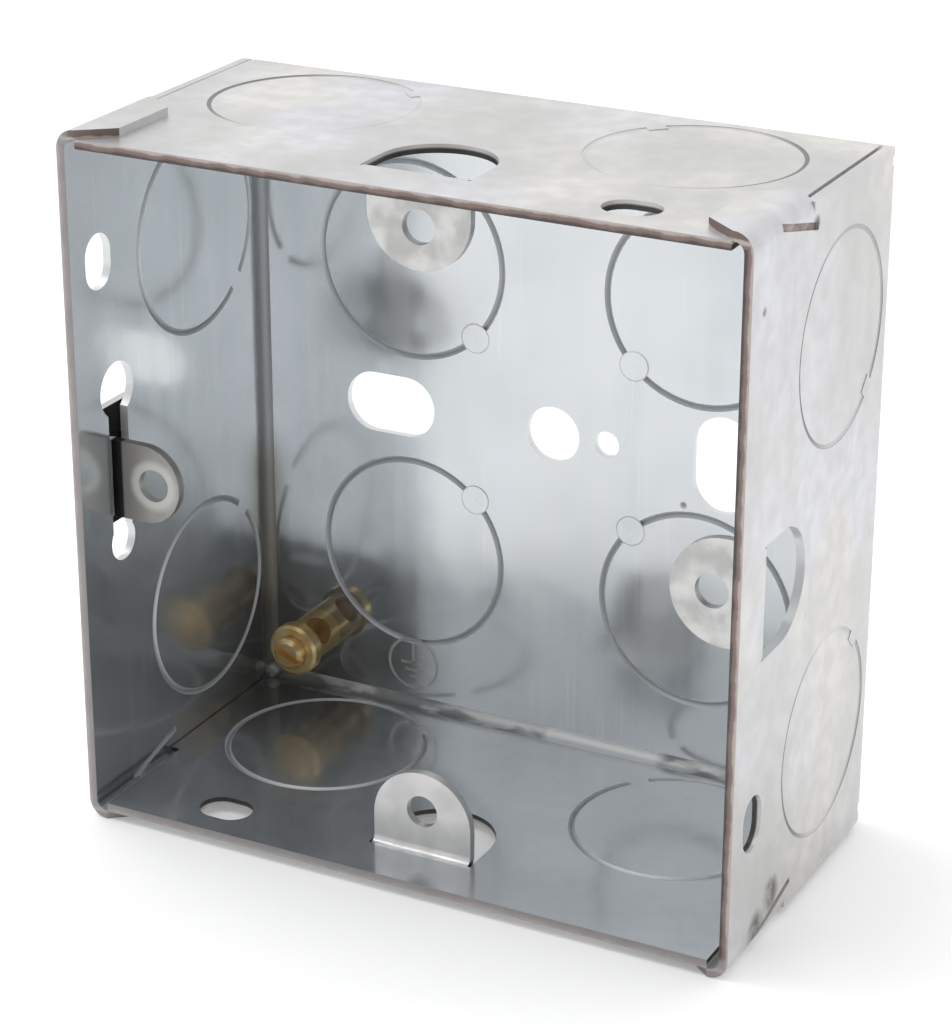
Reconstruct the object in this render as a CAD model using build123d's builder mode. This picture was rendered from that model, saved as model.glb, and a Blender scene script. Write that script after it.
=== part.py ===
"""Flush switch box for one wiring accessory, folded from galvanised sheet steel.

X runs across the box, Y from the open front to the back, and Z up. The origin is
the centre of the back's outer face, so the open front lies at minus the box depth.
Every wall is worked on in its own plane: its local X runs along the wall, its local
Y from front to back, and its local Z outwards.
"""
import math
import os

from build123d import *

os.makedirs("parts", exist_ok=True)

# Box and sheet
plate_screw_pitch = 60.3  # between opposite lug holes, set by the switch plate
lug_hole_inset = 5.35  # lug hole to the wall's outer face
box_depth = 35.5
sheet = 0.9
bend_radius = 1.1  # inside radius of the box's folds
top_seam_gap = 0.45  # between a side wall and the top wall
bottom_seam_gap = 0.12
corner_relief = 0.1  # notch where two folds of the back meet

# Corner tabs, folded from the side walls over the top and bottom walls
tab_run = 13.8  # along the corner, back from the rim
tab_length = 5.4  # in from the side wall's outer face
tab_slant = 2.7  # how far the tab's sloping ends draw in
tab_slit_length = 8.6
tab_slit_width = 0.7
tab_slit_setback = 10.8
tab_slit_drop = 1.5
tab_slit_tilt = 14.0

# Knockouts and the tie that holds each one
knockout_radius = 10.5
step_depth = 0.08  # knockout's outer face below the wall's
score_width = 0.7
score_depth = 0.32
tie_width = 2.0
wall_knockout_margin = 4.7  # knockout's edge to the box corner
wall_knockout_from_back = 13.3
back_knockout_margin = 8.6  # knockout's edge to the box side

# Fixing lugs lanced out of the walls
lug_setback = 6.0  # lug's front face behind the rim
lug_width = 10.8
lug_bend_radius = 0.7
lug_tip_margin = 4.2  # beyond the hole's centre
lug_hole_radius = 1.7  # for a 3.5 mm screw that cuts its own thread
lance_gap = 0.3

# Small slots beside the lugs
side_slot_length = 5.7
side_slot_width = 4.3
side_slot_along = 22.0
side_slot_setback = 4.7

# Fixing holes in the back
back_slot_length = 10.4
back_slot_width = 6.6
back_slot_offset = 19.0
centre_hole_radius = 3.0
pilot_hole_radius = 1.4
pilot_hole_offset = 6.1

# Adjustable lug and the keyhole slot that it slides in
slide_lug_width = 8.2
slide_lug_tip_margin = 3.0
slide_lug_clearance = 0.15  # foot to the wall's outer face
slide_rest = -1.1  # where the lug stands along its slot
foot_width = 12.6
foot_rise = 1.0  # foot's middle above the lug's middle
foot_margin = 1.6  # foot behind its lanced opening
foot_lip = 3.6  # foot forward of the lug's front face
pin_radius = 0.6  # pins behind the lug that keep it from dropping out
pin_length = 2.5
pin_spread = 4.6
slide_slot_width = 3.4
slide_slot_ahead = 0.9  # slot's middle behind the lug's front face
slide_end_spacing = 16.2  # between the round ends of the slot
slide_entry_radius = 2.9
slide_foot_radius = 2.1

# Earth terminal
terminal_inset = 7.5  # pillar's axis to the outer faces of the left and bottom walls
pillar_radius = 2.4
pillar_length = 6.4
pillar_head_radius = 2.9
pillar_head_depth = 1.5
pillar_chamfer = 0.3
rivet_radius = 1.8
rivet_head_radius = 2.4
rivet_head_depth = 0.5
rivet_clearance = 0.02
wire_hole_radius = 1.6
wire_hole_height = 3.1  # above the back's inner face
screw_radius = 1.75
screw_clearance = 0.05
screw_proud = 1.2
screw_chamfer = 0.4
screw_slot_width = 0.8
screw_slot_depth = 0.9
screw_slot_turn = 25.0

# Worked out from the sizes above
half_box = plate_screw_pitch / 2 + lug_hole_inset
fold = bend_radius + sheet
fold_run = 2 * (half_box - fold - corner_relief)
wall_knockout_along = half_box - wall_knockout_margin - knockout_radius
back_knockout_along = half_box - back_knockout_margin - knockout_radius
tie_half_angle = math.degrees(math.asin(tie_width / 2 / knockout_radius))
lug_fold = lug_bend_radius + sheet
lug_front = -box_depth + lug_setback
lug_back = lug_front + sheet
lug_reach = lug_hole_inset + lug_tip_margin
lance_start = lug_front - lug_bend_radius
lance_flat = math.pi / 2 * (lug_bend_radius + sheet / 2) - lug_fold
slide_slot_middle = lug_front + slide_slot_ahead
slide_lug_reach = lug_hole_inset + slide_lug_tip_margin
foot_stand = slide_lug_clearance + sheet
foot_length = foot_lip - lug_bend_radius + lance_flat + slide_lug_reach + foot_stand + lance_gap + foot_margin
pin_at = -half_box + sheet + slide_lug_clearance + pin_radius
terminal_at = -half_box + terminal_inset
pillar_end = -sheet - pillar_length
bore_radius = screw_radius + screw_clearance
wire_hole_y = -sheet - wire_hole_height
screw_tip = wire_hole_y - wire_hole_radius
screw_end = pillar_end - screw_proud

back_plane = Plane(origin=(0, 0, 0), x_dir=(1, 0, 0), z_dir=(0, 1, 0))
upright_plane = Plane(origin=(0, 0, 0), x_dir=(0, 0, 1), z_dir=(-1, 0, 0))
score_plane = Plane.XZ.rotated((0, 0, tie_half_angle))
slide_plane = Plane.XY.offset(slide_rest)
terminal_plane = Plane.XY.offset(terminal_at)
terminal_axis = Axis((terminal_at, 0, terminal_at), (0, 1, 0))
wire_plane = Plane(origin=(terminal_at, wire_hole_y, terminal_at), x_dir=(0, 1, 0), z_dir=(1, 0, 1))
top, right, bottom, left = [Plane.XY.rotated((0, 90 * turn, 0)).offset(half_box) for turn in range(4)]


def section(wall):
    """Plane across a wall, with local X from front to back and local Y outwards."""
    return Plane(origin=wall.origin, x_dir=wall.y_dir, z_dir=wall.x_dir)


def knockout_place(plane, along, depth, turn):
    """Place of a knockout on an outer face, with its tie turned to the given angle."""
    return plane.location * Location((along, depth, 0), (0, 0, turn))


def lance_outline(lug_half, reach):
    """Opening that a lug of the given reach leaves in its sheet, from its fold to a round end."""
    radius = lug_half + lance_gap
    round_end = lance_start + lance_flat + reach - lug_half
    with Locations((0, lance_start)):
        Rectangle(2 * radius, round_end - lance_start, align=(Align.CENTER, Align.MIN))
    with Locations((0, round_end)):
        Circle(radius)


def lug_tip(width, reach):
    """Half-round end of a lug, drawn on the lug's front face with the wall at local Y 0."""
    with Locations((0, reach - width / 2)):
        Circle(width / 2)
        Rectangle(width, width / 2, align=(Align.CENTER, Align.MIN), mode=Mode.INTERSECT)


# A knockout in a sheet whose outer face is local XY is a score line inside and, in a wall, a
# shallow step outside, both broken by the tie
with BuildPart() as knockout_step:
    with BuildSketch():
        Circle(knockout_radius)
        with Locations((knockout_radius, 0)):
            Rectangle(tie_width, tie_width, mode=Mode.SUBTRACT)
    extrude(amount=-step_depth)

with BuildPart() as knockout_score:
    with BuildSketch(score_plane):
        with BuildLine():
            Polyline(
                (knockout_radius - score_width / 2, -sheet),
                (knockout_radius, -sheet + score_depth),
                (knockout_radius + score_width / 2, -sheet),
                close=True,
            )
        make_face()
    revolve(axis=Axis.Z, revolution_arc=360 - 2 * tie_half_angle)

with BuildPart() as box_shell:
    # Back folded up into the side walls, then into the top and bottom walls
    for fold_plane in (Plane.XY, upright_plane):
        with BuildSketch(fold_plane):
            with BuildLine():
                FilletPolyline(
                    (-half_box, -box_depth),
                    (-half_box, 0),
                    (half_box, 0),
                    (half_box, -box_depth),
                    radius=fold,
                )
                offset(amount=sheet, side=Side.RIGHT)
            make_face()
        extrude(amount=fold_run / 2, both=True)

    # Ends of the top and bottom walls with their folds, as far forward as the tabs
    for wall, seam_gap in ((top, top_seam_gap), (bottom, bottom_seam_gap)):
        with BuildSketch(section(wall)):
            with BuildLine():
                Line((-box_depth + tab_run, 0), (-fold, 0))
                CenterArc((-fold, -fold), fold, 90, -90)
                offset(amount=sheet, side=Side.RIGHT)
            make_face()
        extrude(amount=half_box - sheet - seam_gap, both=True)

    # Ends of the side walls, and the tabs folded over the top and bottom walls
    for wall in (right, left):
        with BuildSketch(wall):
            with Locations((0, -fold)):
                Rectangle(2 * half_box, box_depth - fold - tab_run, align=(Align.CENTER, Align.MAX))
        extrude(amount=-sheet)
    with BuildSketch(back_plane.offset(-box_depth)):
        with BuildLine():
            FilletPolyline(
                (half_box - tab_length, -half_box - sheet),
                (half_box, -half_box - sheet),
                (half_box, half_box + sheet),
                (half_box - tab_length, half_box + sheet),
                radius=fold,
            )
            offset(amount=sheet, side=Side.LEFT)
        make_face()
        mirror(about=Plane.YZ)
    extrude(amount=tab_run)
    for wall in (top, bottom):
        with BuildSketch(wall):
            for rim, lean in ((-box_depth, tab_slant), (-box_depth + tab_run, -tab_slant)):
                with BuildLine():
                    Polyline(
                        (half_box - fold, rim),
                        (half_box - tab_length, rim),
                        (half_box - tab_length, rim + lean),
                        close=True,
                    )
                make_face()
            mirror(about=Plane.YZ)
        extrude(amount=sheet, mode=Mode.SUBTRACT)
    for wall in (right, left):
        with BuildSketch(wall):
            for side in (1, -1):
                with Locations((side * (half_box - tab_slit_drop), -box_depth + tab_slit_setback)):
                    Rectangle(tab_slit_length, tab_slit_width, rotation=90 + side * tab_slit_tilt)
        extrude(amount=-fold, mode=Mode.SUBTRACT)

    # Lugs lanced out of three walls and folded inwards behind the rim
    for wall in (top, right, bottom):
        with BuildSketch(wall):
            lance_outline(lug_width / 2, lug_reach)
        extrude(amount=-sheet, mode=Mode.SUBTRACT)
        with BuildSketch(section(wall)):
            with BuildLine():
                FilletPolyline(
                    (-box_depth, 0),
                    (lug_back, 0),
                    (lug_back, -lug_reach + lug_width / 2),
                    radius=lug_fold,
                )
                offset(amount=sheet, side=Side.RIGHT)
            make_face()
        extrude(amount=lug_width / 2, both=True)
        lug_face = Plane(origin=wall.origin, x_dir=wall.x_dir, z_dir=wall.y_dir).offset(lug_front)
        with BuildSketch(lug_face):
            lug_tip(lug_width, lug_reach)
        extrude(amount=sheet)
        with BuildSketch(lug_face):
            with Locations((0, lug_hole_inset)):
                Circle(lug_hole_radius)
        extrude(amount=sheet, mode=Mode.SUBTRACT)

    # Slot of the adjustable lug, with a round end for putting the lug in
    with BuildSketch(left):
        with Locations((0, slide_slot_middle)):
            Rectangle(slide_end_spacing, slide_slot_width)
        with Locations((slide_end_spacing / 2, slide_slot_middle)):
            Circle(slide_entry_radius)
        with Locations((-slide_end_spacing / 2, slide_slot_middle)):
            Circle(slide_foot_radius)
    extrude(amount=-sheet, mode=Mode.SUBTRACT)

    # Small slot and two knockouts in each wall
    for wall in (top, right, bottom, left):
        with BuildSketch(wall):
            with Locations((side_slot_along, -box_depth + side_slot_setback)):
                SlotOverall(side_slot_length, side_slot_width)
        extrude(amount=-sheet, mode=Mode.SUBTRACT)
        with Locations(
            knockout_place(wall, wall_knockout_along, -wall_knockout_from_back, 135),
            knockout_place(wall, -wall_knockout_along, -wall_knockout_from_back, 45),
        ):
            add(knockout_step.part, mode=Mode.SUBTRACT)
            add(knockout_score.part, mode=Mode.SUBTRACT)

    # Four knockouts, two fixing slots, two holes and the terminal's rivet hole in the back
    for turn in (45, 135, 225, 315):
        across = math.copysign(back_knockout_along, math.cos(math.radians(turn)))
        down = math.copysign(back_knockout_along, math.sin(math.radians(turn)))
        with Locations(knockout_place(back_plane, across, down, turn + 180)):
            add(knockout_score.part, mode=Mode.SUBTRACT)
    with BuildSketch(back_plane):
        with Locations((-back_slot_offset, 0)):
            SlotOverall(back_slot_length, back_slot_width)
        with Locations((back_slot_offset, 0)):
            SlotOverall(back_slot_length, back_slot_width, rotation=90)
        Circle(centre_hole_radius)
        with Locations((pilot_hole_offset, 0)):
            Circle(pilot_hole_radius)
    extrude(amount=-sheet, mode=Mode.SUBTRACT)
    with BuildSketch(terminal_plane):
        with BuildLine():
            Polyline(
                (terminal_at, 0),
                (terminal_at + rivet_head_radius, 0),
                (terminal_at + rivet_radius, -rivet_head_depth),
                (terminal_at + rivet_radius, -sheet),
                (terminal_at, -sheet),
                close=True,
            )
        make_face()
    revolve(axis=terminal_axis, mode=Mode.SUBTRACT)

box_shell.part.label = "box_shell"
export_step(box_shell.part, "parts/box_shell.step")

with BuildPart() as adjustable_lug:
    # Foot outside the wall, with the opening that the lug is lanced from
    foot_plane = Plane(slide_plane.location * left.location).offset(foot_stand)
    with BuildSketch(foot_plane):
        with Locations((foot_rise, lug_front - foot_lip)):
            Rectangle(foot_width, foot_length, align=(Align.CENTER, Align.MIN))
    extrude(amount=-sheet)
    with BuildSketch(foot_plane):
        lance_outline(slide_lug_width / 2, slide_lug_reach + foot_stand)
    extrude(amount=-sheet, mode=Mode.SUBTRACT)

    # Lug folded inwards through the slot, its hole and the pins behind it
    with BuildSketch(slide_plane):
        with BuildLine():
            FilletPolyline(
                (-half_box + slide_lug_reach - slide_lug_width / 2, lug_back),
                (-half_box - foot_stand, lug_back),
                (-half_box - foot_stand, lug_front - foot_lip),
                radius=lug_fold,
            )
            offset(amount=sheet, side=Side.LEFT)
        make_face()
    extrude(amount=slide_lug_width / 2, both=True)
    slide_face = Plane(origin=foot_plane.origin, x_dir=left.x_dir, z_dir=left.y_dir).offset(lug_front)
    with BuildSketch(slide_face):
        lug_tip(slide_lug_width, slide_lug_reach + foot_stand)
    extrude(amount=sheet)
    with BuildSketch(slide_face):
        with Locations((0, lug_hole_inset + foot_stand)):
            Circle(lug_hole_radius)
    extrude(amount=sheet, mode=Mode.SUBTRACT)
    with BuildSketch(back_plane.offset(lug_back)):
        with Locations((pin_at, -slide_rest)):
            with GridLocations(0, pin_spread, 1, 2):
                Circle(pin_radius)
    extrude(amount=pin_length)

adjustable_lug.part.label = "adjustable_lug"
export_step(adjustable_lug.part, "parts/adjustable_lug.step")

with BuildPart() as earth_terminal:
    with BuildSketch(terminal_plane):
        with BuildLine():
            Polyline(
                (terminal_at, 0),
                (terminal_at + rivet_head_radius - rivet_clearance, 0),
                (terminal_at + rivet_radius - rivet_clearance, -rivet_head_depth),
                (terminal_at + rivet_radius - rivet_clearance, -sheet),
                (terminal_at + pillar_radius, -sheet),
                (terminal_at + pillar_radius, pillar_end + pillar_head_depth),
                (terminal_at + pillar_head_radius, pillar_end + pillar_head_depth),
                (terminal_at + pillar_head_radius, pillar_end + pillar_chamfer),
                (terminal_at + pillar_head_radius - pillar_chamfer, pillar_end),
                (terminal_at + bore_radius, pillar_end),
                (terminal_at + bore_radius, wire_hole_y),
                (terminal_at, wire_hole_y),
                close=True,
            )
        make_face()
    revolve(axis=terminal_axis)
    with BuildSketch(wire_plane):
        Circle(wire_hole_radius)
    extrude(amount=2 * pillar_radius, both=True, mode=Mode.SUBTRACT)

earth_terminal.part.label = "earth_terminal"
export_step(earth_terminal.part, "parts/earth_terminal.step")

with BuildPart() as earth_screw:
    with BuildSketch(terminal_plane):
        with BuildLine():
            Polyline(
                (terminal_at, screw_tip),
                (terminal_at + screw_radius - screw_chamfer, screw_tip),
                (terminal_at + screw_radius, screw_tip - screw_chamfer),
                (terminal_at + screw_radius, screw_end + screw_chamfer),
                (terminal_at + screw_radius - screw_chamfer, screw_end),
                (terminal_at, screw_end),
                close=True,
            )
        make_face()
    revolve(axis=terminal_axis)
    with BuildSketch(back_plane.offset(screw_end)):
        with Locations((terminal_at, -terminal_at)):
            Rectangle(3 * screw_radius, screw_slot_width, rotation=screw_slot_turn)
    extrude(amount=screw_slot_depth, mode=Mode.SUBTRACT)

earth_screw.part.label = "earth_screw"
export_step(earth_screw.part, "parts/earth_screw.step")
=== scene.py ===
# %% [markdown]
# # A folded switch box in galvanised steel
#
# The metal box, its sliding lug and its brass terminal come ready made from the CAD model, in
# metres. This lesson gives them their finishes, adds the small marks that the press tool leaves
# on the sheet, and sets up a pale studio. The model itself is never moved or reshaped.

# %% Load the model
import math

import bmesh
import bpy
from mathutils import Matrix, Vector


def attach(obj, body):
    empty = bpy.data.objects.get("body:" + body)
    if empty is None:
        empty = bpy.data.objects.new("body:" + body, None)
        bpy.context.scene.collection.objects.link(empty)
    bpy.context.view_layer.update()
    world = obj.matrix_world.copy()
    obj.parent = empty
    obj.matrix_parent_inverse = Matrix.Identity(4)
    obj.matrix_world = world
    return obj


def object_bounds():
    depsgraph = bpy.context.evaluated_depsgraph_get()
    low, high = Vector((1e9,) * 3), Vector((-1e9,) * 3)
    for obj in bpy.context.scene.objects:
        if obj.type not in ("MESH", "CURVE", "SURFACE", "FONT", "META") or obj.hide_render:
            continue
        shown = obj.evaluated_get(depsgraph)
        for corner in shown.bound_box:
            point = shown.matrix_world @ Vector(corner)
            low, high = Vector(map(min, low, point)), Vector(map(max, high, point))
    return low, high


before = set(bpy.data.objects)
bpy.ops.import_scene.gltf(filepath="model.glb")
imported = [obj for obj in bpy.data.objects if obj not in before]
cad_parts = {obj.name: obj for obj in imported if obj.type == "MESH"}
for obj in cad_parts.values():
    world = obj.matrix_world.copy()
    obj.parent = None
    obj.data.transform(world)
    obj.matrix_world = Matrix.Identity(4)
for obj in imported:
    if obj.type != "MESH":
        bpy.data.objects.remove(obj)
size_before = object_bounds()
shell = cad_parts["box_shell"]
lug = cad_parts["adjustable_lug"]
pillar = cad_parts["earth_terminal"]
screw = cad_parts["earth_screw"]
print("pieces of the model:", sorted(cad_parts))

# %% [markdown]
# ## The camera
#
# The photograph was taken from the right, a little above, with a long lens. The numbers below
# came from lining up the box's edges. The Standard view shows colours as they are written.

# %% Camera
camera_data = bpy.data.cameras.new("camera")
camera_data.sensor_fit = "HORIZONTAL"
camera_data.sensor_width = 36.0
camera_data.lens = 116.947
camera_data.clip_start = 0.01
camera = bpy.data.objects.new("camera", camera_data)
camera.location = (0.12948, -0.26732, 0.11494)
camera.rotation_euler = [math.radians(angle) for angle in (67.3515, -0.0796, 27.4756)]
bpy.context.scene.collection.objects.link(camera)
bpy.context.scene.camera = camera
bpy.context.scene.view_settings.view_transform = "Standard"
print("camera is", round(camera.location.length, 3), "m from the middle of the back")

# %% [markdown]
# ## Helpers for nodes
#
# Every node tree below is built from the same three moves: add a node, set its settings, and
# give each input either a plain value or another node's output.


# %% Node helpers
def add(tree, kind, sockets=None, **settings):
    """Adds a node. An entry in sockets is a value to set, or an output to link."""
    node = tree.nodes.new(kind)
    for name, value in settings.items():
        setattr(node, name, value)
    for name, value in (sockets or {}).items():
        if isinstance(value, bpy.types.NodeSocket):
            tree.links.new(value, node.inputs[name])
        else:
            node.inputs[name].default_value = value
    return node


def math_node(tree, operation, first, second=0.0):
    return add(tree, "ShaderNodeMath", {0: first, 1: second}, operation=operation).outputs[0]


def remap(tree, value, low, high, to_low=0.0, to_high=1.0):
    """Maps a value from one range to another with soft ends."""
    sockets = {"Value": value, "From Min": low, "From Max": high, "To Min": to_low, "To Max": to_high}
    return add(tree, "ShaderNodeMapRange", sockets, interpolation_type="SMOOTHSTEP").outputs["Result"]


def blend_colour(tree, factor, first, second):
    sockets = {0: factor, 6: first, 7: second}
    return add(tree, "ShaderNodeMix", sockets, data_type="RGBA").outputs[2]


def distance(tree, place, spot):
    return add(tree, "ShaderNodeVectorMath", {0: place, 1: spot}, operation="DISTANCE").outputs["Value"]


# %% [markdown]
# Each finish starts from the same small material: one Principled shader, and the Object
# coordinates, which stay with a piece when it moves.


# %% New material
def new_material(name, colour, metallic, roughness):
    material = bpy.data.materials.new(name)
    material.use_nodes = True
    tree = material.node_tree
    tree.nodes.clear()
    output = tree.nodes.new("ShaderNodeOutputMaterial")
    shader = tree.nodes.new("ShaderNodeBsdfPrincipled")
    shader.inputs["Base Color"].default_value = (*colour, 1)
    shader.inputs["Metallic"].default_value = metallic
    shader.inputs["Roughness"].default_value = roughness
    tree.links.new(shader.outputs["BSDF"], output.inputs["Surface"])
    place = tree.nodes.new("ShaderNodeTexCoord").outputs["Object"]
    return material, tree, shader, place


# %% [markdown]
# ## Depth in the sheet
#
# Cut edges change colour from the outer face to the inner one, and the outer face is duller
# than the inner one. The four walls and the back meet in folds of one radius, so the distance
# from the line at the middle of the fold, taken from that radius, is how deep a point lies in
# the sheet, on the flat faces as well as in the bend. It is a group, to be shared.

# %% Depth group
HALF = 0.0355
DEPTH = 0.0355
SHEET = 0.0009
FOLD = 0.002

depth_group = bpy.data.node_groups.new("depth in the wall", "ShaderNodeTree")
depth_group.interface.new_socket("Place", in_out="INPUT", socket_type="NodeSocketVector")
depth_group.interface.new_socket("Depth", in_out="OUTPUT", socket_type="NodeSocketFloat")
group_in = depth_group.nodes.new("NodeGroupInput")
group_out = depth_group.nodes.new("NodeGroupOutput")
split = add(depth_group, "ShaderNodeSeparateXYZ", {"Vector": group_in.outputs["Place"]})
reach_x = math_node(depth_group, "ABSOLUTE", split.outputs["X"])
reach_z = math_node(depth_group, "ABSOLUTE", split.outputs["Z"])
farther = math_node(depth_group, "MAXIMUM", reach_x, reach_z)
past_wall = math_node(depth_group, "MAXIMUM", math_node(depth_group, "SUBTRACT", farther, HALF - FOLD), 0.0)
past_back = math_node(depth_group, "MAXIMUM", math_node(depth_group, "ADD", split.outputs["Y"], FOLD), 0.0)
both = add(depth_group, "ShaderNodeCombineXYZ", {"X": past_wall, "Y": past_back}).outputs["Vector"]
from_line = add(depth_group, "ShaderNodeVectorMath", {0: both}, operation="LENGTH").outputs["Value"]
depth_group.links.new(math_node(depth_group, "SUBTRACT", FOLD, from_line), group_out.inputs["Depth"])


def wall_depth(tree, place):
    return add(tree, "ShaderNodeGroup", {"Place": place}, node_tree=depth_group).outputs["Depth"]


print("depth group has", len(depth_group.nodes), "nodes")

# %% [markdown]
# ## The zinc bloom
#
# Hot-dipped zinc is never even. It has broad clouds, a fine fleck, streaks where the sheet was
# rolled, hair scratches and a few specks. Several finishes share this effect, so it is a node
# group that puts out masks between 0 and 1, and each material colours them in its own way.
# Each mask is one noise texture, stretched along Z for what runs upright, with its middle part
# spread over the whole range.

# %% Zinc bloom group
bloom = bpy.data.node_groups.new("zinc bloom", "ShaderNodeTree")
bloom.interface.new_socket("Place", in_out="INPUT", socket_type="NodeSocketVector")
group_in = bloom.nodes.new("NodeGroupInput")
group_out = bloom.nodes.new("NodeGroupOutput")
MASKS = {
    "Cloud": ((75, 75, 75), 4.0, (0.34, 0.66)),
    "Tint": ((48, 48, 48), 2.0, (0.40, 0.60)),
    "Fleck": ((420, 420, 420), 4.0, (0.32, 0.68)),
    "Streak": ((260, 260, 16), 3.0, (0.30, 0.70)),
    "Scratch": ((2200, 2200, 45), 1.0, (0.62, 0.74)),
    "Speck": ((520, 520, 300), 3.0, (0.70, 0.80)),
    "Swell": ((130, 130, 130), 1.0, (0.0, 1.0)),
}
for mask, (scale, detail, (low, high)) in MASKS.items():
    bloom.interface.new_socket(mask, in_out="OUTPUT", socket_type="NodeSocketFloat")
    spread = add(bloom, "ShaderNodeMapping", {"Vector": group_in.outputs["Place"], "Scale": scale})
    sockets = {"Vector": spread.outputs["Vector"], "Scale": 1.0, "Detail": detail}
    noise = add(bloom, "ShaderNodeTexNoise", sockets)
    bloom.links.new(remap(bloom, noise.outputs["Fac"], low, high), group_out.inputs[mask])


def zinc_marks(tree, place):
    return add(tree, "ShaderNodeGroup", {"Place": place}, node_tree=bloom).outputs


print("zinc bloom masks:", list(MASKS))

# %% [markdown]
# Along the lower half of the left upright fold, from the terminal's corner, the zinc is darkened brown.
# This is partly a stain and partly painted shade for that dark corner. The sheet and the fold are two
# finishes, so this mark is a group too: three soft ramps, one for each axis, multiplied.

# %% Brown stain and painted shade group
stain_shade_group = bpy.data.node_groups.new("brown stain and painted shade", "ShaderNodeTree")
stain_shade_group.interface.new_socket("Place", in_out="INPUT", socket_type="NodeSocketVector")
stain_shade_group.interface.new_socket("Stain and shade", in_out="OUTPUT", socket_type="NodeSocketFloat")
group_in = stain_shade_group.nodes.new("NodeGroupInput")
group_out = stain_shade_group.nodes.new("NodeGroupOutput")
split = add(stain_shade_group, "ShaderNodeSeparateXYZ", {"Vector": group_in.outputs["Place"]})
by_side = remap(stain_shade_group, split.outputs["X"], -0.0308, -0.0335)
by_back = remap(stain_shade_group, split.outputs["Y"], -0.0045, -0.0020)
by_height = remap(stain_shade_group, split.outputs["Z"], -0.0040, -0.0110)
# The band is partly a brown stain and partly painted shade for the dark lower left corner.
band = math_node(stain_shade_group, "MULTIPLY", by_side, by_back)
stain_shade_group.links.new(math_node(stain_shade_group, "MULTIPLY", band, by_height), group_out.inputs["Stain and shade"])


def stain_and_shade(tree, place):
    return add(tree, "ShaderNodeGroup", {"Place": place}, node_tree=stain_shade_group).outputs["Stain and shade"]


print("brown stain and painted shade group has", len(stain_shade_group.nodes), "nodes")

# %% [markdown]
# ## Zinc coated sheet
#
# The coating is a metal, but a slightly milky one: most of the light is mirrored with a small blur, and
# some is scattered. A Metallic value below 1 gives both. Inside, the sheet is almost a mirror, with upright
# streaks. It is brown round the terminal, partly from a stain and partly as painted shade for that dark
# corner. It is a little darker behind the rim, most on the left.

# %% Zinc, inside
TERMINAL = (-0.028, -0.004, -0.028)
STAIN_SHADE_BROWN = (0.26, 0.22, 0.16, 1)

zinc, tree, shader, place = new_material("zinc", (0.65, 0.65, 0.65), 0.8, 0.1)
marks = zinc_marks(tree, place)
inner_tone = blend_colour(tree, marks["Cloud"], (0.60, 0.632, 0.655, 1), (0.665, 0.695, 0.72, 1))
streaks = math_node(tree, "MULTIPLY", marks["Streak"], 0.5)
inner_tone = blend_colour(tree, streaks, inner_tone, (0.71, 0.735, 0.75, 1))
hairs = math_node(tree, "MULTIPLY", marks["Scratch"], 0.3)
inner_tone = blend_colour(tree, hairs, inner_tone, (0.80, 0.81, 0.82, 1))
wander = remap(tree, marks["Cloud"], 0, 1, -0.003, 0.003)
# Brown round the terminal: partly a stain, partly painted shade for the dark corner.
ragged = math_node(tree, "ADD", distance(tree, place, TERMINAL), wander)
stain_shade_mask = math_node(tree, "MAXIMUM", remap(tree, ragged, 0.014, 0.004), stain_and_shade(tree, place))
stain_shade_amount = math_node(tree, "MULTIPLY", stain_shade_mask, 0.45)
inner_tone = blend_colour(tree, stain_shade_amount, inner_tone, STAIN_SHADE_BROWN)
split = add(tree, "ShaderNodeSeparateXYZ", {"Vector": place})
# A little darker behind the rim, most on the left.
by_front = remap(tree, split.outputs["Y"], -0.022, -0.033, 0.0, 0.3)
darker_front = math_node(tree, "MULTIPLY", by_front, remap(tree, split.outputs["X"], 0.030, 0.016))
inner_tone = blend_colour(tree, darker_front, inner_tone, (0.36, 0.38, 0.39, 1))
print("inside tone ready")

# %% [markdown]
# The outside is handled more than the inside, so it is duller. Its clouds drift between a warm
# and a cool grey, and it has dark specks. A few smudges sit where the corner tabs were closed.

# %% Zinc, outside
SMUDGES = [
    ((HALF, -0.0254, -0.0321), 0.0024),
    ((HALF, -0.0288, -0.0343), 0.0026),
    ((HALF, -0.0211, 0.0334), 0.0010),
    ((HALF, -0.0326, 0.0286), 0.0006),
    ((0.0148, -SHEET, -0.0050), 0.0005),
]
hue = blend_colour(tree, marks["Tint"], (0.735, 0.715, 0.68, 1), (0.705, 0.71, 0.75, 1))
outer_tone = blend_colour(tree, marks["Cloud"], (0.575, 0.575, 0.57, 1), hue)
worn_spots = math_node(tree, "MULTIPLY", marks["Fleck"], 0.4)
outer_tone = blend_colour(tree, worn_spots, outer_tone, (0.50, 0.50, 0.495, 1))
specks = math_node(tree, "MULTIPLY", marks["Speck"], 0.3)
outer_tone = blend_colour(tree, specks, outer_tone, (0.34, 0.33, 0.32, 1))
outside = remap(tree, wall_depth(tree, place), 0.0004, 0.0001)
tone = blend_colour(tree, outside, inner_tone, outer_tone)
smudge = 0.0
for spot, reach in SMUDGES:
    soft_spot = remap(tree, distance(tree, place, spot), reach, reach * 0.3)
    smudge = math_node(tree, "MAXIMUM", smudge, soft_spot)
smudge = math_node(tree, "MULTIPLY", smudge, remap(tree, marks["Fleck"], 0.1, 0.7, 0.45, 0.95))
tone = blend_colour(tree, smudge, tone, (0.10, 0.09, 0.085, 1))
tree.links.new(tone, shader.inputs["Base Color"])
print("smudges:", len(SMUDGES))

# %% [markdown]
# Roughness follows the same masks, so that a streak is a little duller than the sheet beside
# it. Round the terminal the flux has cleaned the zinc, which mirrors more sharply there. A very
# shallow bump stands for the swell that rolling leaves, and bends the reflections.

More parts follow.
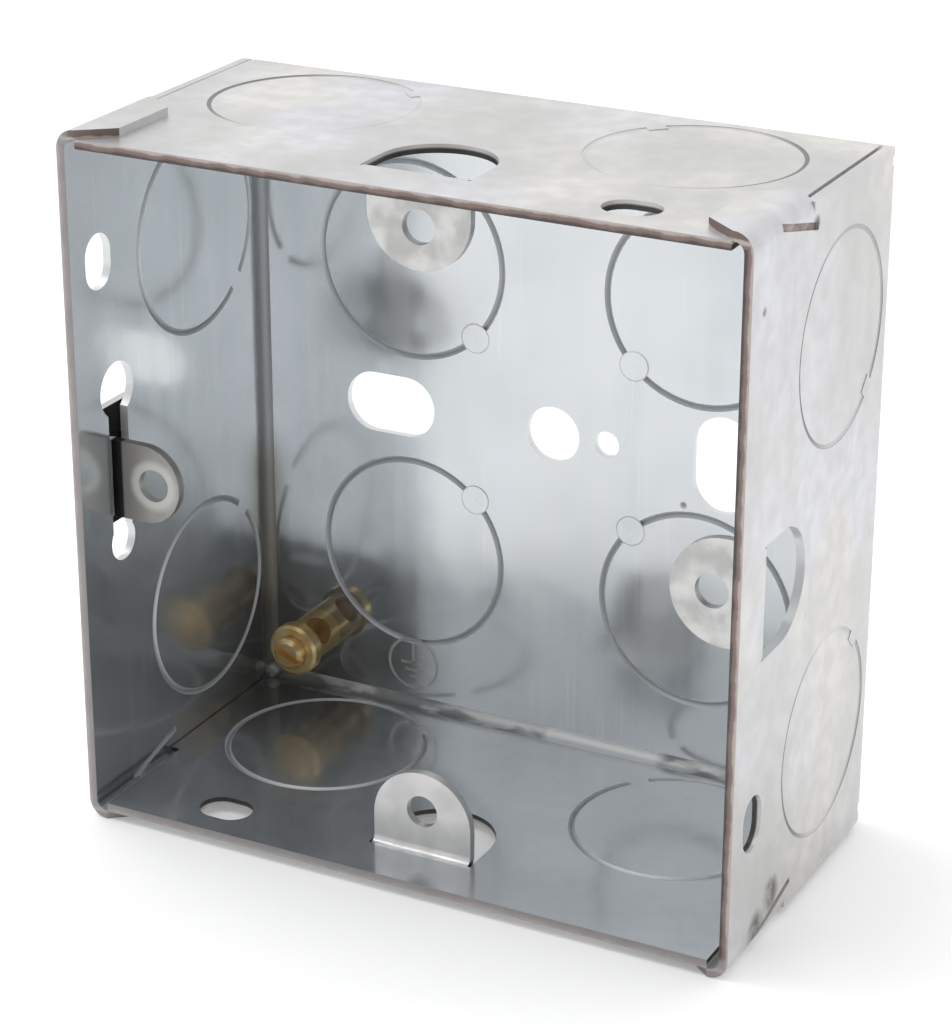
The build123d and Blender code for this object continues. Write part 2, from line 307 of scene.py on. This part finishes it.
# %% Zinc, gloss and swell
gloss = remap(tree, marks["Streak"], 0.0, 1.0, 0.15, 0.21)
cleaned = remap(tree, distance(tree, place, TERMINAL), 0.008, 0.018, 0.48, 1.0)
gloss = math_node(tree, "MULTIPLY", gloss, cleaned)
matt = math_node(tree, "MULTIPLY", outside, remap(tree, marks["Cloud"], 0.0, 1.0, 0.18, 0.26))
tree.links.new(math_node(tree, "ADD", gloss, matt), shader.inputs["Roughness"])
tree.links.new(remap(tree, outside, 0.0, 1.0, 0.80, 0.70), shader.inputs["Metallic"])
ripple = add(tree, "ShaderNodeBump", {"Height": marks["Swell"], "Strength": 0.5, "Distance": 0.00012})
tree.links.new(ripple.outputs["Normal"], shader.inputs["Normal"])
print("zinc has", len(tree.nodes), "nodes")

# %% [markdown]
# ## The sheared rim
#
# The rim shows raw steel where the sheet was cut: brighter on the side the blade came from,
# brown and torn towards the inside. A little noise on the depth makes the line between them
# ragged, as a real tear is. The corner tabs lie outside the walls, where the depth is below
# zero, and their front ends are brown all through. The left and bottom rims have rusted less
# and are greyer.

# %% Sheared rim
rim, tree, shader, place = new_material("sheared rim", (0.3, 0.25, 0.23), 0.5, 0.5)
grain = add(tree, "ShaderNodeTexNoise", {"Vector": place, "Scale": 500.0, "Detail": 3.0})
wander = remap(tree, grain.outputs["Fac"], 0.3, 0.7, -0.00012, 0.00012)
sunk = math_node(tree, "ADD", wall_depth(tree, place), wander)
edge = blend_colour(tree, remap(tree, sunk, 0.0001, 0.0004), (0.52, 0.46, 0.44, 1), (0.25, 0.19, 0.17, 1))
edge = blend_colour(tree, remap(tree, sunk, 0.0005, 0.0008), edge, (0.10, 0.085, 0.08, 1))
edge = blend_colour(tree, remap(tree, sunk, -0.0001, -0.0003), edge, (0.20, 0.15, 0.13, 1))
split = add(tree, "ShaderNodeSeparateXYZ", {"Vector": place})
at_left = remap(tree, split.outputs["X"], -0.0338, -0.0346, 0.0, 0.65)
at_foot = remap(tree, split.outputs["Z"], -0.0338, -0.0346, 0.0, 0.65)
edge = blend_colour(tree, math_node(tree, "MAXIMUM", at_left, at_foot), edge, (0.40, 0.39, 0.395, 1))
tree.links.new(edge, shader.inputs["Base Color"])
print("rim ready")

# %% [markdown]
# ## Score lines and parting lines
#
# A knockout is held by a narrow V groove pressed into the inner face. The groove darkens with depth, partly
# from grey oxide at its bottom and partly as painted shade in the groove. On the outer face the same
# knockout shows only as a thin line, where the step was sheared. The line is painted darker towards the
# ends of the top and bottom walls and towards the front of the side walls, as painted shade on the step's
# edge there.

# %% Score and parting lines
score, tree, shader, place = new_material("score line", (0.5, 0.5, 0.5), 0.45, 0.5)
groove = math_node(tree, "SUBTRACT", SHEET, wall_depth(tree, place))
# Darker with depth: partly grey oxide, partly painted shade in the groove.
dark = remap(tree, groove, 0.00006, 0.0003)
tone = blend_colour(tree, dark, (0.74, 0.76, 0.78, 1), (0.50, 0.52, 0.53, 1))
tree.links.new(tone, shader.inputs["Base Color"])

parting, tree, shader, place = new_material("parting line", (0.5, 0.5, 0.5), 0.6, 0.5)
marks = zinc_marks(tree, place)
split = add(tree, "ShaderNodeSeparateXYZ", {"Vector": place})
reach_x = math_node(tree, "ABSOLUTE", split.outputs["X"])
endward = remap(tree, reach_x, 0.021, 0.029)
frontward = remap(tree, split.outputs["Y"], -0.014, -0.022)
on_side = remap(tree, reach_x, 0.0340, 0.0350)
# Painted shade: the step's edge is darker towards the wall ends and the side walls' front.
shaded_part = add(tree, "ShaderNodeMix", {0: on_side, 2: endward, 3: frontward}).outputs[0]
tone = blend_colour(tree, marks["Cloud"], (0.46, 0.46, 0.46, 1), (0.66, 0.66, 0.66, 1))
tone = blend_colour(tree, shaded_part, tone, (0.22, 0.22, 0.22, 1))
tree.links.new(tone, shader.inputs["Base Color"])
print("score and parting lines ready")

# %% [markdown]
# ## Punched and darkened edges
#
# A punch leaves a clean bright edge. On the top and bottom walls and the small side slots, the inner part
# of the edge is nearly black.

# %% Punched and darkened edges
punched, tree, shader, place = new_material("punched edge", (0.82, 0.83, 0.84), 0.45, 0.4)

dark_cut, tree, shader, place = new_material("torn edge", (0.3, 0.3, 0.3), 0.5, 0.5)
# The inner part of these edges is nearly black.
darkened = remap(tree, wall_depth(tree, place), 0.00025, 0.0005)
tone = blend_colour(tree, darkened, (0.66, 0.65, 0.64, 1), (0.06, 0.055, 0.05, 1))
tree.links.new(tone, shader.inputs["Base Color"])
print("punched and torn edges ready")

# %% [markdown]
# ## Inside of the folds
#
# The zinc is duller where the sheet is folded. The upright folds are painted darker than the sheet, as
# painted shade in the crease. Along the level folds the bend's highlight is painted in as pale patches,
# broken by darker ones, and the noise, stretched along X, stands for these patches. One longer stretch,
# right of the middle, is painted nearly white as a painted highlight.

# %% Folds
HIGHLIGHT_MIDDLE = 0.0063

fold, tree, shader, place = new_material("inside of a fold", (0.5, 0.5, 0.5), 0.6, 0.5)
split = add(tree, "ShaderNodeSeparateXYZ", {"Vector": place})
reach_z = math_node(tree, "ABSOLUTE", split.outputs["Z"])
level = remap(tree, reach_z, HALF - FOLD - 0.0002, HALF - FOLD)
along = add(tree, "ShaderNodeMapping", {"Vector": place, "Scale": (170.0, 500.0, 500.0)})
breaks = add(tree, "ShaderNodeTexNoise", {"Vector": along.outputs["Vector"], "Scale": 1.0, "Detail": 4.0})
# Painted highlight: pale patches along the level folds.
highlight_patch = math_node(tree, "MULTIPLY", remap(tree, breaks.outputs["Fac"], 0.42, 0.60), 0.75)
from_highlight = math_node(tree, "SUBTRACT", split.outputs["X"], HIGHLIGHT_MIDDLE)
from_highlight = math_node(tree, "ABSOLUTE", from_highlight)
# Painted highlight: one stretch right of the middle is nearly white.
highlight_patch = math_node(tree, "MAXIMUM", highlight_patch, remap(tree, from_highlight, 0.0080, 0.0060))
patchy_highlight = blend_colour(tree, highlight_patch, (0.34, 0.345, 0.345, 1), (0.96, 0.97, 0.98, 1))
# Painted shade: the upright folds get a darker grey.
tone = blend_colour(tree, level, (0.40, 0.415, 0.43, 1), patchy_highlight)
# The brown band reaches the left upright fold: partly a stain, partly painted shade.
stain_shade_amount = math_node(tree, "MULTIPLY", stain_and_shade(tree, place), 0.6)
tone = blend_colour(tree, stain_shade_amount, tone, STAIN_SHADE_BROWN)
tree.links.new(tone, shader.inputs["Base Color"])
print("folds ready")

# %% [markdown]
# ## Pressed lugs
#
# The three fixed lugs are pressed out of the walls, and the tool leaves them pale, matt and a little
# dented. The lower one is painted paler round its hole as painted light. The sliding lug is darker and
# warmer, and part of that darkness is painted shade from the left wall. It is painted darker towards the
# wall and black where it passes through the wall, both as painted shade, and it is rubbed bright round its
# hole.

# %% Lugs
LOWER_HOLE = (0.0, -0.0295, -0.03015)

pressed, tree, shader, place = new_material("pressed lug", (0.6, 0.6, 0.6), 0.7, 0.36)
marks = zinc_marks(tree, place)
tone = blend_colour(tree, marks["Fleck"], (0.65, 0.645, 0.64, 1), (0.49, 0.485, 0.48, 1))
# Painted light: the lower lug is paler round its hole.
lower_lug_light = math_node(tree, "MULTIPLY", remap(tree, distance(tree, place, LOWER_HOLE), 0.010, 0.007), 0.5)
tone = blend_colour(tree, lower_lug_light, tone, (0.86, 0.855, 0.85, 1))
tree.links.new(tone, shader.inputs["Base Color"])
tree.links.new(remap(tree, marks["Fleck"], 0.0, 1.0, 0.30, 0.42), shader.inputs["Roughness"])
dents = add(tree, "ShaderNodeBump", {"Height": marks["Swell"], "Strength": 0.6, "Distance": 0.0003})
tree.links.new(dents.outputs["Normal"], shader.inputs["Normal"])

LUG_HOLE = (-0.03015, -0.0295, -0.0011)

# The sliding lug's darker tone is partly painted shade from the left wall.
worn_shaded, tree, shader, place = new_material("worn lug", (0.4, 0.4, 0.38), 0.6, 0.42)
marks = zinc_marks(tree, place)
across = add(tree, "ShaderNodeSeparateXYZ", {"Vector": place}).outputs["X"]
# Painted shade: darker towards the wall the lug stands from.
wall_shade = remap(tree, across, -0.0340, -0.0290)
tone = blend_colour(tree, wall_shade, (0.22, 0.21, 0.20, 1), (0.40, 0.39, 0.37, 1))
worn_spots = math_node(tree, "MULTIPLY", marks["Fleck"], 0.5)
tone = blend_colour(tree, worn_spots, tone, (0.24, 0.23, 0.21, 1))
rubbed = remap(tree, distance(tree, place, LUG_HOLE), 0.0030, 0.0021)
tone = blend_colour(tree, rubbed, tone, (0.56, 0.55, 0.52, 1))
# Painted shade: black where the lug passes through the wall.
in_slot_shade = remap(tree, across, -0.0336, -0.0339)
tone = blend_colour(tree, in_slot_shade, tone, (0.015, 0.015, 0.015, 1))
tree.links.new(tone, shader.inputs["Base Color"])
print("lugs ready")

# %% [markdown]
# ## Brass and painted shade
#
# The terminal is turned from brass bar and has dulled, most of all on the rivet head that lies in the
# back's outer face. The narrow space behind the wall, where the sliding lug's foot runs, gets no light, so
# it is painted nearly black as painted shade.

# %% Brass and painted shade
brass, tree, shader, place = new_material("brass", (0.8, 0.6, 0.3), 0.65, 0.26)
marks = zinc_marks(tree, place)
tone = blend_colour(tree, marks["Fleck"], (0.98, 0.76, 0.40, 1), (0.80, 0.56, 0.24, 1))
tone = blend_colour(tree, remap(tree, wall_depth(tree, place), 0.0004, 0.0001), tone, (0.42, 0.32, 0.16, 1))
tree.links.new(tone, shader.inputs["Base Color"])

# Painted shade for the slot behind the wall: nearly black.
slot_shade, tree, shader, place = new_material("slot_shade", (0.02, 0.02, 0.02), 0.0, 0.8)
shader.inputs["Specular IOR Level"].default_value = 0.1
print("brass and grime ready")

# %% [markdown]
# ## Which face gets which finish
#
# The model is a plain triangle mesh, so each triangle is asked where it lies. A face on the
# front plane is the rim, a face on a knockout's circle is a score line, and a face inside the
# sheet's thickness that looks along the sheet is a cut edge. The front ends of the corner tabs
# look like the rim, and the top and bottom ends of the side walls are coated like the sheet.

# %% Where the knockouts are
KNOCKOUT_RADIUS = 0.0105
SCORE_WIDTH = 0.0007
SCORE_DEPTH = 0.00032
STEP_DEPTH = 0.00008
BACK_OFFSET = 0.0164
WALL_OFFSET = 0.0203
KNOCKOUT_Y = -0.0133
UP = Vector((0, 0, 1))
RIGHT = Vector((1, 0, 0))
BACKWARDS = Vector((0, 1, 0))

# Each knockout is its centre on the outer face, the way out of the box, and the way to its tie
knockouts = []
for side_x in (1, -1):
    for side_z in (1, -1):
        centre = Vector((side_x * BACK_OFFSET, 0, side_z * BACK_OFFSET))
        knockouts.append((centre, BACKWARDS, Vector((-side_x, 0, -side_z)).normalized()))
for outward in (RIGHT, -RIGHT, UP, -UP):
    along = outward.cross(BACKWARDS)
    for side in (1, -1):
        centre = outward * HALF + along * side * WALL_OFFSET + BACKWARDS * KNOCKOUT_Y
        knockouts.append((centre, outward, (BACKWARDS - along * side).normalized()))
print("knockouts:", len(knockouts))

# %% Finish of each face
WALLS = [(BACKWARDS, 0.0), (RIGHT, HALF), (-RIGHT, HALF), (UP, HALF), (-UP, HALF)]
LUG_FRONT = -0.0295
SIDE_SLOTS_FROM = 0.012
NEAR = 0.00002


def on_score(centre, normal):
    for middle, outward, _ in knockouts:
        offset = centre - middle
        height = offset.dot(outward)
        radius = (offset - outward * height).length
        in_groove = -SHEET - NEAR < height < -SHEET + SCORE_DEPTH + NEAR
        if in_groove and abs(radius - KNOCKOUT_RADIUS) < SCORE_WIDTH and abs(normal.dot(outward)) < 0.95:
            return True
    return False


def finish_of(centre, normal, lug_finish):
    """Finish of one face of the sheet, from its middle and the way it looks."""
    farther = max(abs(centre.x), abs(centre.z))
    tab_front = abs(centre.z) > HALF + NEAR and abs(normal.z) < 0.05 and normal.y < -0.3
    if centre.y < -DEPTH + NEAR or tab_front:
        return rim
    if on_score(centre, normal):
        return score
    if abs(centre.z) > HALF - NEAR and abs(normal.z) > 0.9:
        return zinc
    for outward, wall in WALLS:
        height = centre.dot(outward) - wall
        if -SHEET + NEAR < height < -NEAR and abs(normal.dot(outward)) < 0.05:
            side_slot = outward == RIGHT and abs(centre.z) > SIDE_SLOTS_FROM
            return dark_cut if side_slot or outward in (UP, -UP) else punched
    if centre.y > -FOLD and farther > HALF - FOLD and normal.y < -0.01:
        return fold
    # The sliding lug's faces outside the wall that look into the slot get the painted shade.
    if centre.x < -HALF and normal.x > 0.05:
        return slot_shade
    if farther < HALF - SHEET - NEAR and abs(centre.y - LUG_FRONT) < SHEET + NEAR:
        return lug_finish
    return zinc


# %% [markdown]
# The materials go on as slots, and each face keeps the number of its slot. The box and the
# sliding lug share one rule and differ only in the finish of their lugs.

# %% Put the finishes on
FINISHES = [zinc, rim, score, punched, dark_cut, fold, slot_shade, pressed, worn_shaded]
for node, lug_finish in ((shell, pressed), (lug, worn_shaded)):
    node.data.materials.clear()
    for material in FINISHES:
        node.data.materials.append(material)
    for face in node.data.polygons:
        face.material_index = FINISHES.index(finish_of(face.center, face.normal, lug_finish))
for node in (pillar, screw):
    node.data.materials.clear()
    node.data.materials.append(brass)
for number, material in enumerate(FINISHES):
    print(material.name, sum(face.material_index == number for face in shell.data.polygons), "faces")

# %% [markdown]
# ## Stamped rings
#
# Each knockout in the back is held by one small tie, pressed flat by a round punch that leaves
# a ring. On the outer face the parting line of each knockout shows as a thin grey circle. All
# of these are rings of different sizes on flat sheet, so one Geometry Nodes tree makes them: it
# stamps a ring, or an arc of one, on every point that it is given.

# %% Ring tree
RING_STEPS = 192

ring_tree = bpy.data.node_groups.new("stamped rings", "GeometryNodeTree")
ring_tree.interface.new_socket("Points", in_out="INPUT", socket_type="NodeSocketGeometry")
ring_inputs = {}
for name in ("Radius", "Line width", "Line height", "Gap angle"):
    socket = ring_tree.interface.new_socket(name, in_out="INPUT", socket_type="NodeSocketFloat")
    ring_inputs[name] = socket.identifier
socket = ring_tree.interface.new_socket("Finish", in_out="INPUT", socket_type="NodeSocketMaterial")
ring_inputs["Finish"] = socket.identifier
ring_tree.interface.new_socket("Rings", in_out="OUTPUT", socket_type="NodeSocketGeometry")
start = ring_tree.nodes.new("NodeGroupInput")
end = ring_tree.nodes.new("NodeGroupOutput")
half_gap = math_node(ring_tree, "MULTIPLY", start.outputs["Gap angle"], 0.5)
sweep = math_node(ring_tree, "SUBTRACT", 2 * math.pi, start.outputs["Gap angle"])
arc = add(
    ring_tree,
    "GeometryNodeCurveArc",
    {
        "Resolution": RING_STEPS,
        "Radius": start.outputs["Radius"],
        "Start Angle": half_gap,
        "Sweep Angle": sweep,
    },
)
line = add(
    ring_tree,
    "GeometryNodeCurvePrimitiveQuadrilateral",
    {"Width": start.outputs["Line width"], "Height": start.outputs["Line height"]},
)
wire = add(
    ring_tree,
    "GeometryNodeCurveToMesh",
    {"Curve": arc.outputs["Curve"], "Profile Curve": line.outputs["Curve"], "Fill Caps": True},
)
turn = add(ring_tree, "GeometryNodeInputNamedAttribute", {"Name": "turn"}, data_type="FLOAT_VECTOR")
facing = add(ring_tree, "FunctionNodeEulerToRotation", {"Euler": turn.outputs["Attribute"]})
stamped = add(
    ring_tree,
    "GeometryNodeInstanceOnPoints",
    {
        "Points": start.outputs["Points"],
        "Instance": wire.outputs["Mesh"],
        "Rotation": facing.outputs["Rotation"],
    },
)
real = add(ring_tree, "GeometryNodeRealizeInstances", {"Geometry": stamped.outputs["Instances"]})
finished = add(
    ring_tree,
    "GeometryNodeSetMaterial",
    {"Geometry": real.outputs["Geometry"], "Material": start.outputs["Finish"]},
)
ring_tree.links.new(finished.outputs["Geometry"], end.inputs["Rings"])
print("ring tree inputs:", list(ring_inputs))

# %% [markdown]
# The points are a mesh with no faces. Each carries a turn, so that the ring lies flat on its
# sheet with the gap at the tie. When the tree has run, the result is made a plain mesh, with
# flat shading, because smooth shading would round so thin a ring into a wire.


# %% Stamp rings on points
def stamp_rings(name, spots, radius, width, height, gap, material):
    """spots holds, for each ring, its middle, the way it faces and the way to its gap."""
    points = bpy.data.meshes.new(name)
    points.from_pydata([tuple(middle) for middle, _, _ in spots], [], [])
    turns = points.attributes.new("turn", "FLOAT_VECTOR", "POINT")
    for item, (_, outward, to_gap) in zip(turns.data, spots):
        item.vector = Matrix((to_gap, outward.cross(to_gap), outward)).transposed().to_euler()
    rings = bpy.data.objects.new(name, points)
    bpy.context.scene.collection.objects.link(rings)
    modifier = rings.modifiers.new("rings", "NODES")
    modifier.node_group = ring_tree
    sizes = {"Radius": radius, "Line width": width, "Line height": height, "Gap angle": gap}
    for key, value in sizes.items():
        modifier[ring_inputs[key]] = value
    modifier[ring_inputs["Finish"]] = material
    evaluated = rings.evaluated_get(bpy.context.evaluated_depsgraph_get())
    plain = bpy.data.meshes.new_from_object(evaluated)
    plain.shade_flat()
    rings.modifiers.clear()
    rings.data = plain
    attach(rings, "box")
    print(name, "has", len(plain.polygons), "faces")


# %% [markdown]
# The parting lines lie on the outer faces, just inside each knockout's edge. The pads and their
# faint rings lie on the inner face of the back, over the ties. A pad is a ring whose line
# reaches its middle, so it closes to a disc. The arc has many steps, so its ends meet unseen.

# %% Parting lines and tie pads
TIE_ANGLE = 0.26
PARTING_WIDTH = 0.00044
PARTING_HEIGHT = 0.00002
PAD_RADIUS = 0.0015
PAD_HEIGHT = 0.00006
TIE_RING_RADIUS = 0.00155
TIE_RING_WIDTH = 0.00014
TIE_RING_HEIGHT = 0.00004

parting_spots = []
for middle, outward, to_tie in knockouts:
    step = 0.0 if outward == BACKWARDS else STEP_DEPTH
    parting_spots.append((middle - outward * step, outward, to_tie))
parting_radius = KNOCKOUT_RADIUS - PARTING_WIDTH / 2
parting_sizes = (parting_radius, PARTING_WIDTH, PARTING_HEIGHT, TIE_ANGLE)
stamp_rings("parting_lines", parting_spots, *parting_sizes, parting)
pad_spots = []
for middle, outward, to_tie in knockouts[:4]:
    pad_spots.append((middle + to_tie * KNOCKOUT_RADIUS - outward * SHEET, -outward, to_tie))
stamp_rings("tie_pads", pad_spots, PAD_RADIUS / 2, PAD_RADIUS, PAD_HEIGHT, 0.0, zinc)
tie_ring_sizes = (TIE_RING_RADIUS, TIE_RING_WIDTH, TIE_RING_HEIGHT, 0.0)
stamp_rings("tie_rings", pad_spots, *tie_ring_sizes, pressed)

# %% [markdown]
# ## Small solid pieces
#
# A generic earth sign is stamped beside the terminal: a ring and four bars, which are thin boxes. Boxes
# also close the slits beside the corner tabs. The lower left slit is closed with zinc, and the other three
# with dark brown boxes that are painted shade for the gaps. A box also closes the seam between the left
# wall and the top wall, which zinc has run into.


# %% Boxes
def plain_piece(name, vertices, faces, material, body="box"):
    mesh = bpy.data.meshes.new(name)
    mesh.from_pydata(vertices, [], faces)
    mesh.materials.append(material)
    piece = bpy.data.objects.new(name, mesh)
    bpy.context.scene.collection.objects.link(piece)
    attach(piece, body)
    print(name, "has", len(faces), "faces")
    return piece


def boxes(places):
    """Corners and faces of boxes, each given as a turn and position, and its three sizes."""
    vertices = []
    faces = []
    for place, sizes in places:
        first = len(vertices)
        for corner in range(8):
            signs = [1 if corner >> axis & 1 else -1 for axis in range(3)]
            vertices.append(place @ Vector([sign * size / 2 for sign, size in zip(signs, sizes)]))
        for side in ((0, 2, 3, 1), (4, 5, 7, 6), (0, 1, 5, 4), (2, 6, 7, 3), (0, 4, 6, 2), (1, 3, 7, 5)):
            faces.append([first + corner for corner in side])
    return vertices, faces


# %% Earth sign and slits
SIGN = Vector((-0.0165, -SHEET, -0.0296))
SIGN_RADIUS = 0.0029
SIGN_LINE = 0.00032
SIGN_HEIGHT = 0.00004
sign_sizes = (SIGN_RADIUS, SIGN_LINE, SIGN_HEIGHT, 0.0)
stamp_rings("earth_ring", [(SIGN, -BACKWARDS, UP)], *sign_sizes, pressed)
# Each bar is its height above the sign's middle, its length along X and its length along Z
BARS = [
    (0.0012, SIGN_LINE, 0.0024),
    (0.0, 0.0030, SIGN_LINE),
    (-0.0008, 0.0020, SIGN_LINE),
    (-0.0016, 0.0010, SIGN_LINE),
]
bar_places = []
for height, along_x, along_z in BARS:
    bar_places.append((Matrix.Translation(SIGN + UP * height), (along_x, SIGN_HEIGHT, along_z)))
plain_piece("earth_bars", *boxes(bar_places), pressed)

SLIT_SETBACK = 0.0108
SLIT_DROP = 0.0015
SLIT_TILT = 14
SLIT_SIZES = (0.0003, 0.0086, 0.0007)
SEAM_MIDDLE = (-0.034375, -0.01185, 0.03503)
SEAM_SIZES = (0.00043, 0.0195, 0.00084)


def slit(side_x, side_z):
    """Place and sizes of the filling of the slit beside one corner tab."""
    middle = (side_x * (HALF - SHEET / 2), -DEPTH + SLIT_SETBACK, side_z * (HALF - SLIT_DROP))
    tilt = Matrix.Rotation(-side_z * math.radians(SLIT_TILT), 4, "X")
    return Matrix.Translation(middle) @ tilt, SLIT_SIZES


seam = Matrix.Translation(SEAM_MIDDLE), SEAM_SIZES
plain_piece("slit_zinc", *boxes([slit(-1, -1), seam]), zinc)
# Painted shade: dark brown boxes in three tab slits.
plain_piece("slit_shade", *boxes([slit(1, 1), slit(1, -1), slit(-1, 1)]), rim)

# %% [markdown]
# Zinc that ran together when the box was dipped closes the little notch at each back corner: a bead, and a
# short post behind it in the thickness of the sheet. A dark box closes the corner of the opening in the
# sliding lug's foot as painted shade, so this last piece rides on the sliding lug. It is black on the sides
# that look into the box, and coated like the sheet on those that look out.


# %% Corner beads and foot shade
def beads(middles, radius):
    """Corners and faces of small balls."""
    ball = bmesh.new()
    bmesh.ops.create_icosphere(ball, subdivisions=3, radius=radius)
    ball.verts.index_update()
    vertices = []
    faces = []
    for middle in middles:
        first = len(vertices)
        vertices += [middle + corner.co for corner in ball.verts]
        faces += [[first + corner.index for corner in face.verts] for face in ball.faces]
    ball.free()
    return vertices, faces


BEAD_RADIUS = 0.00095
BEAD_OFFSET = 0.0340
BEAD_DEPTH = 0.0015
POST_SIZES = (0.0009, 0.0010, 0.0009)
POST_OFFSET = 0.035
POST_DEPTH = 0.0021
FOOT_MIDDLE = (-0.0361, -0.0265, 0.0021)
FOOT_SIZES = (0.0007, 0.0042, 0.0019)
OUT_OF_BOX = Vector((-1, 1, -1))

back_corners = [Vector((side_x, 0, side_z)) for side_x in (1, -1) for side_z in (1, -1)]
bead_middles = [corner * BEAD_OFFSET - BACKWARDS * BEAD_DEPTH for corner in back_corners]
corner_beads = plain_piece("corner_beads", *beads(bead_middles, BEAD_RADIUS), pressed)
corner_beads.data.shade_smooth()
post_middles = [corner * POST_OFFSET - BACKWARDS * POST_DEPTH for corner in back_corners]
posts = [(Matrix.Translation(middle), POST_SIZES) for middle in post_middles]
plain_piece("corner_posts", *boxes(posts), pressed)
# Painted shade: a dark box in the corner of the foot's opening.
foot_place = (Matrix.Translation(FOOT_MIDDLE), FOOT_SIZES)
foot_shade = plain_piece("foot_shade", *boxes([foot_place]), slot_shade, "sliding_lug")
foot_shade.data.materials.append(zinc)
for face in foot_shade.data.polygons:
    face.material_index = 1 if face.normal.dot(OUT_OF_BOX) > 0 else 0

# %% [markdown]
# ## Floor
#
# The floor is plain pale paper. It is shown a little lighter than the lamps alone would make
# it, by a faint glow that only the camera, mirrors and glass can see, so that the paper looks
# white and the steel mirrors white paper, while no scattered light is added to the box.

# %% Floor
FLOOR_REACH = 1.5
PAPER_GLOW = 0.18

floor_level = size_before[0][2]
floor_signs = [(-1, -1), (1, -1), (1, 1), (-1, 1)]
floor_corners = [(x * FLOOR_REACH, y * FLOOR_REACH, floor_level) for x, y in floor_signs]
mesh = bpy.data.meshes.new("floor")
mesh.from_pydata(floor_corners, [], [(0, 1, 2, 3)])
floor = bpy.data.objects.new("floor", mesh)
bpy.context.scene.collection.objects.link(floor)
paper, tree, shader, place = new_material("paper", (0.92, 0.92, 0.92), 0.0, 0.8)
shader.inputs["Specular IOR Level"].default_value = 0.0
shader.inputs["Emission Color"].default_value = (1, 1, 1, 1)
ray = add(tree, "ShaderNodeLightPath").outputs
seen = math_node(tree, "MAXIMUM", ray["Is Camera Ray"], ray["Is Glossy Ray"])
seen = math_node(tree, "MAXIMUM", seen, ray["Is Transmission Ray"])
tree.links.new(math_node(tree, "MULTIPLY", seen, PAPER_GLOW), shader.inputs["Emission Strength"])
mesh.materials.append(paper)
print("floor is at", round(floor_level, 4))

# %% [markdown]
# ## Studio
#
# Polished sheet shows what stands round it, so the world is the most important lamp. It is
# bright all round except for the dark room behind the camera and a grey screen to the left of
# it. A face that mirrors the backdrop is pale, and the lower left corner inside, which sends
# rays back to the camera, is dark.

# %% World
ROOM_WAY = (0.425, -0.819, 0.385)
SCREEN_WAY = (-0.80, -0.55, 0.25)

world = bpy.data.worlds.new("studio")
bpy.context.scene.world = world
world.use_nodes = True
tree = world.node_tree
tree.nodes.clear()
way = add(tree, "ShaderNodeTexCoord").outputs["Generated"]
to_room = add(tree, "ShaderNodeVectorMath", {0: way, 1: ROOM_WAY}, operation="DOT_PRODUCT")
room = remap(tree, to_room.outputs["Value"], 0.76, 0.95, 0.98, 0.05)
to_screen = add(tree, "ShaderNodeVectorMath", {0: way, 1: SCREEN_WAY}, operation="DOT_PRODUCT")
screen = remap(tree, to_screen.outputs["Value"], 0.78, 0.95, 1.0, 0.7)
backdrop = math_node(tree, "MULTIPLY", room, screen)
back = add(tree, "ShaderNodeBackground", {"Color": (1, 1, 1, 1), "Strength": backdrop})
add(tree, "ShaderNodeOutputWorld", {"Surface": back.outputs["Background"]})
print("world has", len(tree.nodes), "nodes")

# %% [markdown]
# Two soft lamps from above give the box its shadow on the paper. They stand high, so the top
# wall keeps most of their light off the inside.


# %% Lamps
def soft_light(name, location, target, size, watts):
    data = bpy.data.lights.new(name, "AREA")
    data.shape = "SQUARE"
    data.size = size
    data.energy = watts
    lamp = bpy.data.objects.new(name, data)
    lamp.location = location
    lamp.rotation_euler = (Vector(target) - Vector(location)).to_track_quat("-Z", "Y").to_euler()
    bpy.context.scene.collection.objects.link(lamp)


soft_light("key light", (-0.28, -0.05, 0.72), (0, -0.02, 0), 0.45, 2.0)
soft_light("top light", (0.1, 0.25, 0.75), (0, 0, 0), 0.6, 0.5)
